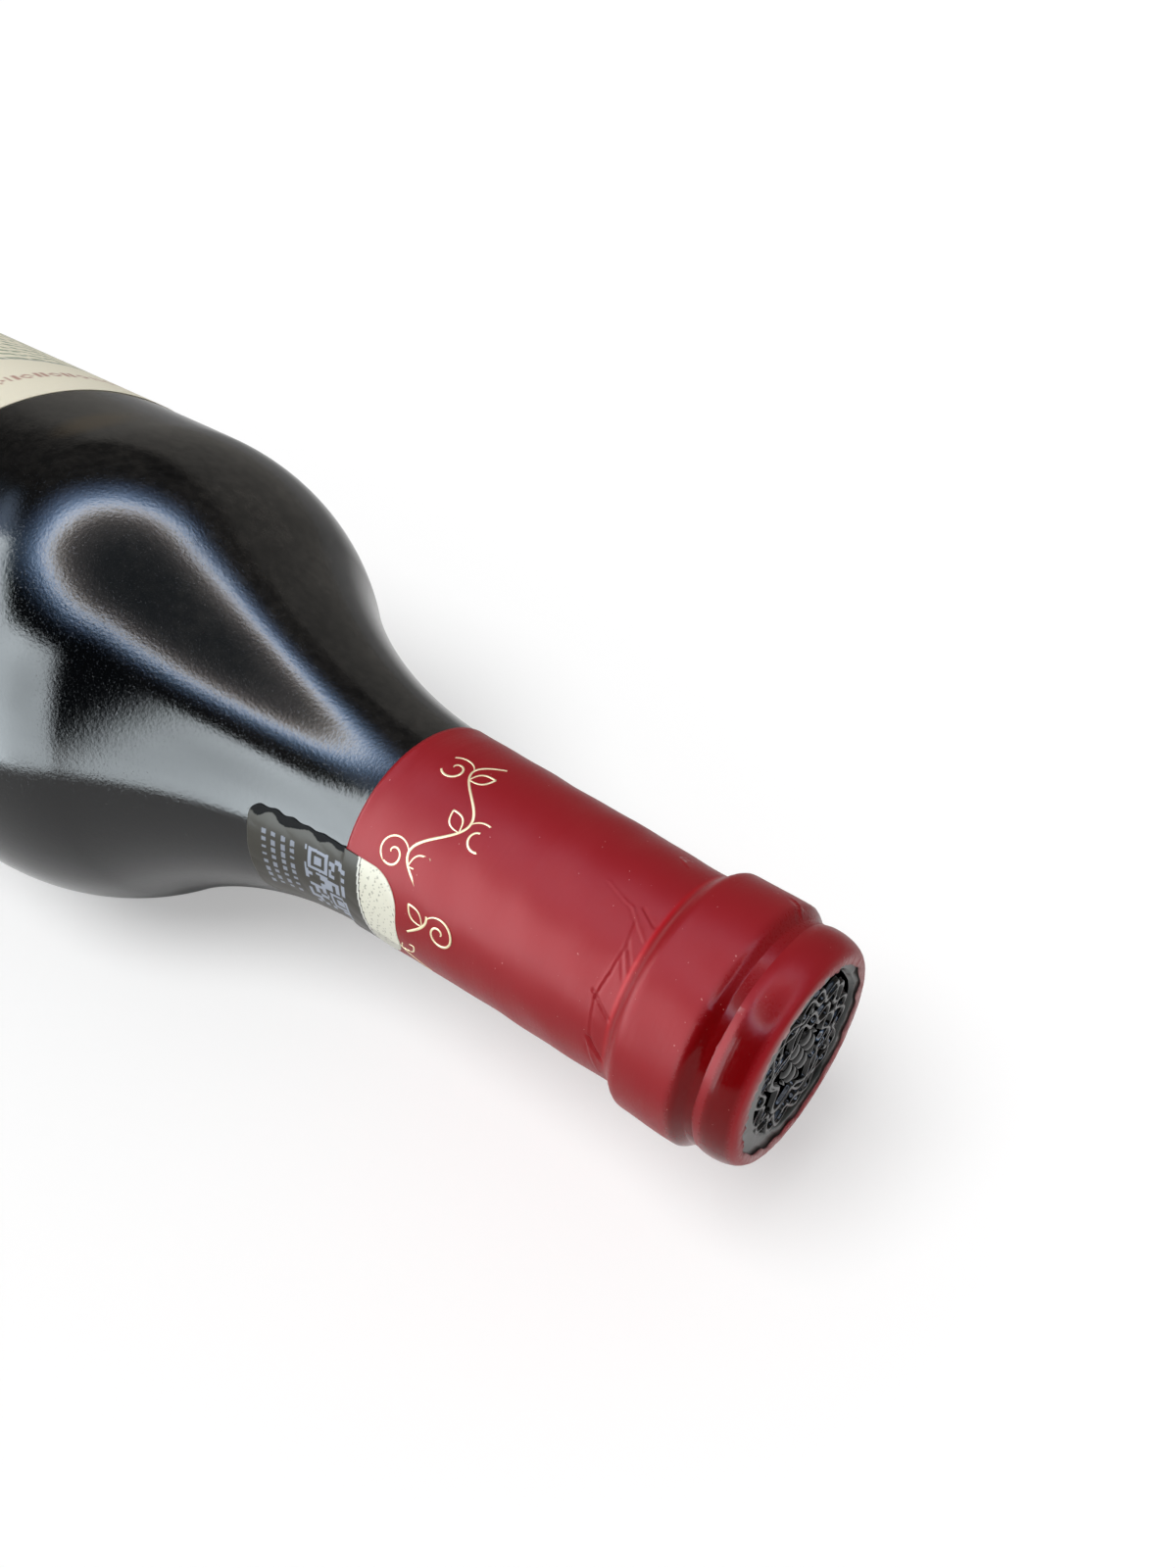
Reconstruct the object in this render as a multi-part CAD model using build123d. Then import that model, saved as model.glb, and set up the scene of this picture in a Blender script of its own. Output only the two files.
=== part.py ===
from build123d import *
import math
import os

# A full wine bottle lying on its side, in millimetres.
# +X runs from the base to the mouth, +Z is up and the bottle rests on a narrow flat
# strip along its underside at Z = 0. The origin is under the middle of the bottle.
# "From the mouth" below is the distance back along the bottle from its capsule's end.

# Body and neck
total_length = 300.0
body_diameter = 73.0
shoulder_radius = 36.0        # convex round where the shoulder meets the body
sweep_radius = 69.0           # concave round where the neck meets the shoulder
neck_diameter = 27.0          # glass, at the foot of the finish
neck_taper = 0.028            # gain in radius for each millimetre away from the mouth
neck_length = 55.8            # from the mouth to where the sweep begins
heel_radius = 6.0
punt_radius = 24.0
punt_depth = 8.0
rest_width = 8.0              # flat strip that the bottle lies on

# Finish: lip, groove and band of the mouth, as steps out from the neck's radius
band_step = 1.6
lip_step = 0.6
groove_step = 0.35
lip_depth = 3.9               # from the mouth to the lip's widest ring
groove_run = 1.7              # from there to the groove's narrowest ring
band_rise = 2.0
band_width = 7.4
band_fall = 2.6
mouth_inset = 1.8             # the end face is this much smaller in radius than the lip

# Capsule and its end disc
capsule_length = 57.8
capsule_wall = 0.25
disc_thickness = 0.7
crimp_thickness = 0.3         # capsule film that folds over the disc's edge
crimp_overlap = 0.4
disc_rim = 1.7                # smooth rim round the disc's sunk middle
disc_recess = 0.35

# Seal that bridges the capsule's edge on one side of the neck
seal_overlap = 9.1            # how far the seal reaches onto the capsule
seal_length = 24.1
seal_width = 14.3
seal_wall = 0.12
seal_round = 4.4              # corners of the end on the capsule
seal_corner = 1.6             # corners of the end on the glass
seal_bearing = 180.0          # degrees round the bottle, from +Y towards +Z

# Paper label
label_gap_above = 17.5        # body left bare between the shoulder and the label
label_gap_below = 38.0        # body left bare between the label and the heel
label_wall = 0.12
label_from = 38.0             # degrees round the bottle, from +Y towards +Z
label_to = 174.0

# Values that follow from those above
half_length = total_length / 2
body_radius = body_diameter / 2
neck_radius = neck_diameter / 2
lie_height = math.sqrt(body_radius ** 2 - (rest_width / 2) ** 2)
end_stack = disc_thickness + crimp_thickness
groove_depth = lip_depth + groove_run
band_start = groove_depth + band_rise
band_end = band_start + band_width
finish_length = band_end + band_fall
seal_start = capsule_length - seal_overlap
disc_radius = neck_radius + lip_step - mouth_inset
taper_angle = math.atan(neck_taper)
neck_end_radius = neck_radius + neck_taper * (neck_length - finish_length)
far = 4 * total_length


def station(from_mouth):
    return half_length - from_mouth


# Centres of the two rounds between neck and body, as (distance from the mouth, radius)
sweep_centre = (
    neck_length - sweep_radius * math.sin(taper_angle),
    neck_end_radius + sweep_radius * math.cos(taper_angle),
)
shoulder_height = body_radius - shoulder_radius
shoulder_run = math.sqrt(
    (sweep_radius + shoulder_radius) ** 2 - (sweep_centre[1] - shoulder_height) ** 2
)
shoulder_centre = (sweep_centre[0] + shoulder_run, shoulder_height)
body_start = shoulder_centre[0]


def on_round(centre, radius, angle):
    """Point of a round: angle 0 points away from the mouth, 90 degrees outwards."""
    away = centre[0] + radius * math.cos(angle)
    return (station(away), centre[1] + radius * math.sin(angle))


def rounds_between(skin):
    """The sweep and the shoulder, which meet where their centres' line crosses them."""
    meet = math.atan2(
        sweep_centre[1] - shoulder_centre[1], sweep_centre[0] - shoulder_centre[0]
    )
    sweep_size = sweep_radius - skin
    shoulder_size = shoulder_radius + skin
    sweep_from = taper_angle - math.pi / 2
    sweep_to = meet - math.pi
    sweep = ThreePointArc(
        on_round(sweep_centre, sweep_size, sweep_from),
        on_round(sweep_centre, sweep_size, (sweep_from + sweep_to) / 2),
        on_round(sweep_centre, sweep_size, sweep_to),
    )
    shoulder = ThreePointArc(
        on_round(shoulder_centre, shoulder_size, meet),
        on_round(shoulder_centre, shoulder_size, (meet + math.pi / 2) / 2),
        on_round(shoulder_centre, shoulder_size, math.pi / 2),
    )
    return [sweep, shoulder]


def finish_lines(skin, end_x):
    """The mouth's outline from its end face back to the foot of the band."""
    mouth = disc_radius + skin
    lip = neck_radius + lip_step + skin
    groove = neck_radius + groove_step + skin
    band = neck_radius + band_step + skin
    foot = neck_radius + skin
    lip_x = station(lip_depth)
    end_face = Line((end_x, 0), (end_x, mouth))
    lip_round = EllipticalCenterArc(
        (lip_x, mouth), end_x - lip_x, lip - mouth, arc_size=90
    )
    groove_curve = Spline(
        (lip_x, lip),
        (station(groove_depth), groove),
        (station(band_start), band),
        tangents=[(-1, 0), (-1, 0)],
    )
    band_line = Line((station(band_start), band), (station(band_end), band))
    band_foot = Spline(
        (station(band_end), band),
        (station(finish_length), foot),
        tangents=[(-1, 0), (-0.6, -1)],
    )
    return [end_face, lip_round, groove_curve, band_line, band_foot]


def base_lines(skin):
    """The heel, the ring round the base and the punt's dome."""
    base_x = -half_length
    heel_x = base_x + heel_radius
    wall = body_radius + skin
    diagonal = heel_radius * math.sqrt(0.5)
    heel = ThreePointArc(
        (heel_x, wall),
        (heel_x - diagonal, wall - heel_radius + diagonal),
        (base_x, wall - heel_radius),
    )
    ring = Line((base_x, wall - heel_radius), (base_x, punt_radius))
    dome_radius = (punt_radius ** 2 + punt_depth ** 2) / (2 * punt_depth)
    dome_x = base_x + punt_depth - dome_radius
    half_way = math.asin(punt_radius / dome_radius) / 2
    dome = ThreePointArc(
        (base_x, punt_radius),
        (dome_x + dome_radius * math.cos(half_way), dome_radius * math.sin(half_way)),
        (base_x + punt_depth, 0),
    )
    return [heel, ring, dome]


def turned(skin, cover=0.0):
    """The bottle's outside grown by a skin, and by a cover over the mouth's end."""
    end_x = half_length - end_stack + cover
    rounds = rounds_between(skin)
    lines = finish_lines(skin, end_x)
    lines.append(Line(lines[-1] @ 1, rounds[0] @ 0))
    lines += rounds
    body_line = Line(rounds[-1] @ 1, (heel_radius - half_length, body_radius + skin))
    lines.append(body_line)
    lines += base_lines(skin)
    lines.append(Line((punt_depth - half_length, 0), (end_x, 0)))
    profile = make_face(lines)
    solid = revolve(profile, axis=Axis.X, revolution_arc=360)
    return Pos(0, 0, lie_height) * solid


def slab(from_mouth, to_mouth):
    """Everything between two distances from the mouth."""
    middle = (station(from_mouth) + station(to_mouth)) / 2
    return Pos(middle, 0, 0) * Box(to_mouth - from_mouth, far, far)


def end_cylinder(radius, from_mouth, to_mouth):
    """A cylinder on the bottle's axis near the mouth."""
    middle = (station(from_mouth) + station(to_mouth)) / 2
    depth = to_mouth - from_mouth
    return Pos(middle, 0, lie_height) * Rot(0, 90, 0) * Cylinder(radius, depth)


def make_glass():
    """The bottle, solid, with the flat strip that it lies on."""
    below = Pos(0, 0, -far / 2) * Box(far, far, far)
    return turned(0) - below


def make_disc():
    """The disc on the mouth's end, with a sunk middle inside a smooth rim."""
    disc = end_cylinder(disc_radius, crimp_thickness, end_stack)
    sunk = end_cylinder(disc_radius - disc_rim, 0, crimp_thickness + disc_recess)
    return disc - sunk


def make_capsule(glass):
    """The film round the neck and the finish, open over the disc."""
    film = turned(capsule_wall, end_stack) & slab(-1, capsule_length)
    disc_space = end_cylinder(disc_radius, crimp_thickness, end_stack)
    opening = end_cylinder(disc_radius - crimp_overlap, -1, end_stack)
    return film - glass - disc_space - opening


def make_seal(glass, capsule):
    """A strip across the capsule's edge, cut from skins over the capsule and the glass."""
    seal_end = seal_start + seal_length
    on_capsule = turned(capsule_wall + seal_wall) & slab(seal_start, capsule_length + seal_wall)
    on_glass = turned(seal_wall) & slab(capsule_length, seal_end)
    skin = on_capsule + on_glass - glass - capsule
    middle = station(seal_start + seal_length / 2)
    outline = Rectangle(seal_length, seal_width)
    near_mouth = outline.vertices().group_by(Axis.X)[-1]
    outline = fillet(near_mouth, seal_round)
    away = outline.vertices().group_by(Axis.X)[0]
    outline = fillet(away, seal_corner)
    cutter = extrude(outline, body_diameter)
    cutter = Rot(seal_bearing - 90, 0, 0) * cutter
    return skin & (Pos(middle, 0, lie_height) * cutter)


def make_label(glass):
    """Paper wrapped part of the way round the body."""
    label_start = body_start + label_gap_above
    label_end = total_length - heel_radius - label_gap_below
    wrap = turned(label_wall) - glass
    middle = (station(label_start) + station(label_end)) / 2
    height = label_end - label_start
    bar = Pos(middle, body_radius, 0) * Rectangle(height, body_radius)
    wedge = revolve(bar, axis=Axis.X, revolution_arc=label_to - label_from)
    wedge = Rot(label_from, 0, 0) * wedge
    return wrap & (Pos(0, 0, lie_height) * wedge)


glass = make_glass()
capsule = make_capsule(glass)
nodes = {
    "glass_bottle": glass,
    "capsule": capsule,
    "capsule_disc": make_disc(),
    "neck_seal": make_seal(glass, capsule),
    "front_label": make_label(glass),
}

os.makedirs("parts", exist_ok=True)
for name, shape in nodes.items():
    export_step(shape, f"parts/{name}.step")
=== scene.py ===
import math
import bpy
import numpy as np
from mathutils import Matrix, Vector


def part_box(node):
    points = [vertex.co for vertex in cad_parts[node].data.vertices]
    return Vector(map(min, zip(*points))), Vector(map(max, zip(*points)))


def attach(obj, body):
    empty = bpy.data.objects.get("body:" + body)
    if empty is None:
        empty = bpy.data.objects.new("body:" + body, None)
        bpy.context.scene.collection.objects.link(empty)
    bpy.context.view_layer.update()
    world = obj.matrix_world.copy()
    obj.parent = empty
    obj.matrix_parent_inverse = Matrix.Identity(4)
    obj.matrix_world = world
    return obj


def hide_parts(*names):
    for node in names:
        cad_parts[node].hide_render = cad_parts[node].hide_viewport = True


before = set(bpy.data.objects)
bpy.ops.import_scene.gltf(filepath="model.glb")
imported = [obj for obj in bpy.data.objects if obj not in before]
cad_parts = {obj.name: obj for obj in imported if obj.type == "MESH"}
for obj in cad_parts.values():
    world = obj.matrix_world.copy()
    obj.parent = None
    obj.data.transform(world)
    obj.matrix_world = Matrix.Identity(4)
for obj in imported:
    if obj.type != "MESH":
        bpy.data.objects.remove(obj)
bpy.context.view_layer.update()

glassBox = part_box("glass_bottle")
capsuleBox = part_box("capsule")
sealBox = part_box("neck_seal")
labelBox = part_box("front_label")

# The bottle's own lengths, in metres. "Mouth" distances run back along the bottle from its end.
mouthX = capsuleBox[1][0]
baseX = glassBox[0][0]
bodyRadius = (glassBox[1][1] - glassBox[0][1]) / 2
axisHeight = glassBox[1][2] - bodyRadius
capsuleLength = mouthX - capsuleBox[0][0]
labelStart = mouthX - labelBox[1][0]
labelEnd = mouthX - labelBox[0][0]
sealStart = mouthX - sealBox[1][0]
sealEnd = mouthX - sealBox[0][0]

shape = {
    "neckRadius": 0.0135,
    "neckTaper": 0.028,
    "neckLength": 0.0558,
    "sweepRadius": 0.069,
    "shoulderRadius": 0.036,
    "heelRadius": 0.006,
    "puntRadius": 0.024,
    "puntDepth": 0.008,
    "lipStep": 0.0006,
    "grooveStep": 0.00035,
    "bandStep": 0.0016,
    "mouthInset": 0.0018,
    "lipDepth": 0.0039,
    "grooveDepth": 0.0056,
    "bandStart": 0.0076,
    "bandEnd": 0.0150,
    "finishLength": 0.0176,
    "endStack": 0.0010,
    "filmWall": 0.00025,
    "foldDepth": 0.0003,
    "foldOverlap": 0.0004,
}

# Points along each stretch of the outline
steps = {
    "lip": 16,
    "groove": 10,
    "bandRise": 12,
    "band": 16,
    "bandFoot": 14,
    "neck": 40,
    "round": 60,
    "body": 60,
    "heel": 14,
    "ring": 6,
    "dome": 24,
}


# Straight run of (distance, radius) points between two ends, the first left out
def straightRun(start, end, count):
    share = np.linspace(0, 1, count + 1)[1:, None]
    return np.array(start) + share * (np.array(end) - np.array(start))


# Run whose radius eases from one value to the other as half a cosine wave
def easedRun(start, end, count):
    share = np.linspace(0, 1, count + 1)[1:]
    ease = (1 - np.cos(np.pi * share)) / 2
    distances = start[0] + share * (end[0] - start[0])
    radii = start[1] + ease * (end[1] - start[1])
    return np.stack([distances, radii], axis=1)


# Points of a round: centre plus radius times (cosine, sine) of each angle
def roundRun(centre, radius, start, end, count):
    angles = np.linspace(start, end, count + 1)[1:]
    offsets = np.stack([np.cos(angles), np.sin(angles)], axis=1)
    return np.array(centre) + radius * offsets


# Smooth 0 to 1 step between two values
def smoothStep(low, high, values):
    share = np.clip((values - low) / (high - low), 0, 1)
    return share * share * (3 - 2 * share)


# 1 between two values and 0 beyond two outer ones, with smooth steps between them
def plateau(values, start, full, fade, end):
    return smoothStep(start, full, values) * smoothStep(end, fade, values)


# Sum of sine waves at random headings and phases, about -1 to 1, for gentle unevenness
def wavyNoise(x, y, scale, seed, waves=9):
    random = np.random.default_rng(seed)
    total = np.zeros(np.broadcast(x, y).shape)
    for heading, phase, stretch in random.random((waves, 3)) * [2 * np.pi, 2 * np.pi, 1]:
        frequency = 2 * np.pi / scale * (0.5 + stretch)
        along = x * np.cos(heading) + y * np.sin(heading)
        total += np.sin(frequency * along + phase)
    return total / math.sqrt(waves)


# Outline resampled so that its steps are about as long as the spacing wanted at each point
def respaced(outline, spacing):
    steps = np.hypot(*np.diff(outline, axis=0).T)
    cost = np.concatenate([[0], np.cumsum(2 * steps / (spacing[1:] + spacing[:-1]))])
    marks = np.linspace(0, cost[-1], int(math.ceil(cost[-1])) + 1)
    return np.stack([np.interp(marks, cost, outline[:, axis]) for axis in (0, 1)], axis=1)


# Faces of a rows by columns grid of points, each row closed on itself if wanted
def gridFaces(rows, columns, closedRows=False, closedColumns=False):
    rowStarts = np.arange(rows if closedColumns else rows - 1)
    columnStarts = np.arange(columns if closedRows else columns - 1)
    row, column = np.meshgrid(rowStarts, columnStarts, indexing="ij")
    nextRow = (row + 1) % rows
    nextColumn = (column + 1) % columns
    corners = [
        row * columns + column,
        row * columns + nextColumn,
        nextRow * columns + nextColumn,
        nextRow * columns + column,
    ]
    return np.stack([corner.ravel() for corner in corners], axis=1)


# A smooth-shaded piece from an array of points and lists of faces, with a colour per point
def makePiece(name, points, faces, material, inks=None):
    mesh = bpy.data.meshes.new(name)
    mesh.from_pydata(points.reshape(-1, 3), [], faces)
    mesh.update()
    mesh.shade_smooth()
    if inks is not None:
        layer = mesh.color_attributes.new("print", "FLOAT_COLOR", "POINT")
        layer.data.foreach_set("color", np.ascontiguousarray(inks, dtype=np.float32).ravel())
    piece = bpy.data.objects.new(name, mesh)
    bpy.context.scene.collection.objects.link(piece)
    mesh.materials.append(material)
    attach(piece, "root")
    return piece


# Places around the bottle: distance from the mouth, bearing from +Y towards +Z, radius
def aroundBottle(distance, bearing, radius):
    x = mouthX - distance + 0 * bearing
    y = radius * np.cos(bearing)
    z = axisHeight + radius * np.sin(bearing)
    return np.stack(np.broadcast_arrays(x, y, z), axis=-1)


# Lip, groove, band and foot of the finish, grown outwards by a skin
def finishOutline(skin, endDistance):
    neck = shape["neckRadius"] + skin
    mouth = neck + shape["lipStep"] - shape["mouthInset"]
    lip = (shape["lipDepth"], neck + shape["lipStep"])
    groove = (shape["grooveDepth"], neck + shape["grooveStep"])
    bandTop = (shape["bandStart"], neck + shape["bandStep"])
    bandFoot = (shape["bandEnd"], neck + shape["bandStep"])
    foot = (shape["finishLength"], neck)
    angles = np.linspace(0, np.pi / 2, steps["lip"] + 1)
    lipDistances = lip[0] - (lip[0] - endDistance) * np.cos(angles)
    lipRadii = mouth + (lip[1] - mouth) * np.sin(angles)
    return np.concatenate([
        np.stack([lipDistances, lipRadii], axis=1),
        easedRun(lip, groove, steps["groove"]),
        easedRun(groove, bandTop, steps["bandRise"]),
        straightRun(bandTop, bandFoot, steps["band"]),
        easedRun(bandFoot, foot, steps["bandFoot"]),
    ])


# Centres of the sweep below the neck and of the shoulder's round
taperAngle = math.atan(shape["neckTaper"])
neckRun = shape["neckLength"] - shape["finishLength"]
neckEndRadius = shape["neckRadius"] + shape["neckTaper"] * neckRun
sweepCentre = (
    shape["neckLength"] - shape["sweepRadius"] * math.sin(taperAngle),
    neckEndRadius + shape["sweepRadius"] * math.cos(taperAngle),
)
shoulderHeight = bodyRadius - shape["shoulderRadius"]
centreDistance = shape["sweepRadius"] + shape["shoulderRadius"]
shoulderRun = math.sqrt(centreDistance ** 2 - (sweepCentre[1] - shoulderHeight) ** 2)
shoulderCentre = (sweepCentre[0] + shoulderRun, shoulderHeight)
meetAngle = math.atan2(sweepCentre[1] - shoulderHeight, -shoulderRun)


# Neck, sweep, shoulder and body, from the foot of the finish to the heel
def wallOutline(skin):
    neckFoot = (shape["finishLength"], shape["neckRadius"] + skin)
    neckEnd = (shape["neckLength"], neckEndRadius + skin)
    heelStart = (mouthX - baseX - shape["heelRadius"], bodyRadius + skin)
    sweepStart = taperAngle - math.pi / 2
    sweepRadius = shape["sweepRadius"] - skin
    sweep = roundRun(sweepCentre, sweepRadius, sweepStart, meetAngle - math.pi, steps["round"])
    shoulderRadius = shape["shoulderRadius"] + skin
    shoulder = roundRun(shoulderCentre, shoulderRadius, meetAngle, math.pi / 2, steps["round"])
    return np.concatenate([
        straightRun(neckFoot, neckEnd, steps["neck"]),
        sweep,
        shoulder,
        straightRun(shoulder[-1], heelStart, steps["body"]),
    ])


glassOutline = np.concatenate([finishOutline(0, shape["endStack"]), wallOutline(0)])


# Radius of the glass at a distance from the mouth, behind the lip
def glassRadius(distance):
    behind = glassOutline[glassOutline[:, 0] >= shape["lipDepth"]]
    return np.interp(distance, behind[:, 0], behind[:, 1])


# Carries an outline round the bottle's axis and flattens what would sink below the rest
def turnOutline(outline, columns):
    bearings = np.linspace(0, 2 * np.pi, columns, endpoint=False)
    points = aroundBottle(outline[:, :1], bearings[None, :], outline[:, 1:])
    points[..., 2] = np.maximum(points[..., 2], 0)
    return points


# Triangles from one ring of a grid to a single point, wound to face outwards
def closingFan(start, columns, point, flip=False):
    around = start + np.arange(columns)
    following = start + (np.arange(columns) + 1) % columns
    middle = np.full(columns, point)
    sides = (following, around) if flip else (around, following)
    return np.stack([sides[0], middle, sides[1]], axis=1).tolist()


# A new material with an empty tree and its output, and quick ways to add nodes
class Tree:
    # Starts with a material output and the place in the object's own coordinates
    def __init__(self, name):
        self.material = bpy.data.materials.new(name)
        self.material.use_nodes = True
        self.nodes = self.material.node_tree.nodes
        self.links = self.material.node_tree.links
        self.nodes.clear()
        self.output = self.nodes.new("ShaderNodeOutputMaterial")
        self.place = self.add("ShaderNodeTexCoord").outputs["Object"]

    # Adds a node, sets its fields, and gives each named input a value or a link
    def add(self, kind, fields={}, inputs={}):
        node = self.nodes.new(kind)
        for field, value in fields.items():
            setattr(node, field, value)
        for key, value in inputs.items():
            if isinstance(value, bpy.types.NodeSocket):
                self.links.new(value, node.inputs[key])
            else:
                node.inputs[key].default_value = value
        return node

    # Layered noise, about 0 to 1, read at a place that is stretched first
    def noise(self, scale, detail=3.0, roughness=0.55, stretch=(1, 1, 1)):
        mapped = self.add("ShaderNodeMapping", {}, {"Vector": self.place, "Scale": stretch})
        settings = {
            "Vector": mapped.outputs[0],
            "Scale": scale,
            "Detail": detail,
            "Roughness": roughness,
        }
        return self.add("ShaderNodeTexNoise", {}, settings).outputs["Fac"]

    # Straight map from one range onto another, held at its ends
    def ramp(self, value, low, high, start=0.0, end=1.0):
        settings = {
            "Value": value,
            "From Min": low,
            "From Max": high,
            "To Min": start,
            "To Max": end,
        }
        return self.add("ShaderNodeMapRange", {}, settings).outputs[0]

    # First colour blended into the second by a share
    def mix(self, share, first, second):
        settings = {"Factor": share, "A": first, "B": second}
        node = self.nodes.new("ShaderNodeMix")
        node.data_type = "RGBA"
        for key, value in settings.items():
            socket = [one for one in node.inputs if one.name == key and one.enabled][0]
            if isinstance(value, bpy.types.NodeSocket):
                self.links.new(value, socket)
            else:
                socket.default_value = value
        return [one for one in node.outputs if one.enabled][0]

    # One operation on two numbers, such as a sum or the larger of both
    def math(self, operation, first, second=0.0):
        node = self.add("ShaderNodeMath", {"operation": operation}, {0: first, 1: second})
        return node.outputs[0]

    # Product of two numbers
    def times(self, first, second):
        return self.math("MULTIPLY", first, second)

    # Colour stored on the mesh
    def inks(self):
        return self.add("ShaderNodeAttribute", {"attribute_name": "print"}).outputs["Color"]

    # Place along one axis, in metres
    def along(self, axis):
        return self.add("ShaderNodeSeparateXYZ", {}, {0: self.place}).outputs[axis]

    # Distance from a centre, measured in half-widths along axes turned about Z
    def awayFrom(self, place, size, turn=0.0):
        mapped = self.add("ShaderNodeMapping", {"vector_type": "TEXTURE"}, {
            "Vector": self.place,
            "Location": place,
            "Rotation": (0, 0, turn),
            "Scale": size,
        }).outputs[0]
        length = self.add("ShaderNodeVectorMath", {"operation": "LENGTH"}, {0: mapped})
        return length.outputs["Value"]

    # Normal tilted by the slope of a height, whose full range is the distance
    def bump(self, height, strength, distance, normal=None):
        settings = {"Height": height, "Strength": strength, "Distance": distance}
        if normal is not None:
            settings["Normal"] = normal
        return self.add("ShaderNodeBump", {}, settings).outputs[0]

    # Principled surface with the given sockets, joined to the output
    def surface(self, settings):
        shader = self.add("ShaderNodeBsdfPrincipled", {}, settings)
        self.links.new(shader.outputs[0], self.output.inputs["Surface"])
        return self.material


# Dark glass: its mesh, looks, dust and an amber stain
glass = {
    "columns": 288,
    "colour": (0.0018, 0.0021, 0.0026, 1),
    "dustColour": (0.085, 0.078, 0.070, 1),
    "roughness": 0.062,
    "dustRoughness": 0.50,
    "dustFrom": -0.018,
    "dustTo": 0.024,
    "dustStrength": 0.62,
    "dustDulling": 0.35,
    "cloudScale": 95,
    "grainScale": 750,
    "speckScale": 4200,
    "speckStrength": 0.8,
    "dullSpots": (0.42, 0.22),
    "wideWaves": (210, 0.000010),
    "fineWaves": (2100, 0.000018),
    "ior": 1.5,
    "amber": (0.045, 0.030, 0.012, 1),
    "amberPlace": (0.0275, 0.005, 0.0722),
    "amberSize": (0.0035, 0.0075, 0.010),
    "amberStrength": 0.55,
}


# Near-black glass. Dust lies thicker towards +Y, mottled by two noises, with specks of its own and
# dull spots. Two noises in the normal, wide and fine, break up the edges of reflections.
def makeGlassMaterial():
    tree = Tree("darkGlass")
    cloud = tree.ramp(tree.noise(glass["cloudScale"], 5, 0.65), 0.30, 0.72, 0.35, 1.0)
    grains = tree.ramp(tree.noise(glass["grainScale"], 3, 0.6), 0.38, 0.62, 0.55, 1.0)
    side = tree.ramp(tree.along("Y"), glass["dustFrom"], glass["dustTo"])
    film = tree.times(tree.times(side, tree.times(cloud, grains)), glass["dustStrength"])
    specks = tree.ramp(tree.noise(glass["speckScale"], 1, 0.4), 0.78, 0.81)
    dust = tree.math("MAXIMUM", film, tree.times(specks, glass["speckStrength"]))
    colour = tree.mix(dust, glass["colour"], glass["dustColour"])
    reach = tree.awayFrom(glass["amberPlace"], glass["amberSize"])
    stain = tree.ramp(reach, 1.0, 0.4, 0, glass["amberStrength"])
    colour = tree.mix(stain, colour, glass["amber"])
    spots = tree.ramp(tree.noise(glass["speckScale"], 2, 0.5), 0.60, 0.66)
    shown = tree.ramp(side, 0, 1, *glass["dullSpots"])
    dull = tree.math("MAXIMUM", tree.times(film, glass["dustDulling"]), tree.times(spots, shown))
    roughness = tree.ramp(dull, 0, 1, glass["roughness"], glass["dustRoughness"])
    wideScale, wideHeight = glass["wideWaves"]
    fineScale, fineHeight = glass["fineWaves"]
    wide = tree.bump(tree.noise(wideScale, 2, 0.5), 1.0, wideHeight)
    normal = tree.bump(tree.noise(fineScale, 4, 0.65), 1.0, fineHeight, wide)
    return tree.surface({
        "Base Color": colour,
        "Roughness": roughness,
        "IOR": glass["ior"],
        "Normal": normal,
    })


# The glass: the outline turned once round, closed with a point at the mouth and in the punt
def makeGlass():
    columns = glass["columns"]
    heel = roundRun(
        (mouthX - baseX - shape["heelRadius"], bodyRadius - shape["heelRadius"]),
        shape["heelRadius"], math.pi / 2, 0, steps["heel"],
    )
    depth = shape["puntDepth"]
    domeRadius = (shape["puntRadius"] ** 2 + depth ** 2) / (2 * depth)
    domeCentre = (mouthX - baseX - depth + domeRadius, 0)
    domeStart = math.pi - math.asin(shape["puntRadius"] / domeRadius)
    dome = roundRun(domeCentre, domeRadius, domeStart, math.pi, steps["dome"])
    ring = (mouthX - baseX, shape["puntRadius"])
    outline = np.concatenate([
        glassOutline,
        heel,
        straightRun(heel[-1], ring, steps["ring"]),
        dome[:-1],
    ])
    rings = turnOutline(outline, columns)
    rows = len(outline)
    poles = [[mouthX - shape["endStack"], 0, axisHeight], [baseX + depth, 0, axisHeight]]
    points = np.concatenate([rings.reshape(-1, 3), poles])
    faces = gridFaces(rows, columns, closedRows=True).tolist()
    faces += closingFan(0, columns, rows * columns)
    faces += closingFan((rows - 1) * columns, columns, rows * columns + 1, flip=True)
    piece = makePiece("bottleGlass", points, faces, makeGlassMaterial())
    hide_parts("glass_bottle")
    print("glass", len(faces))


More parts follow.
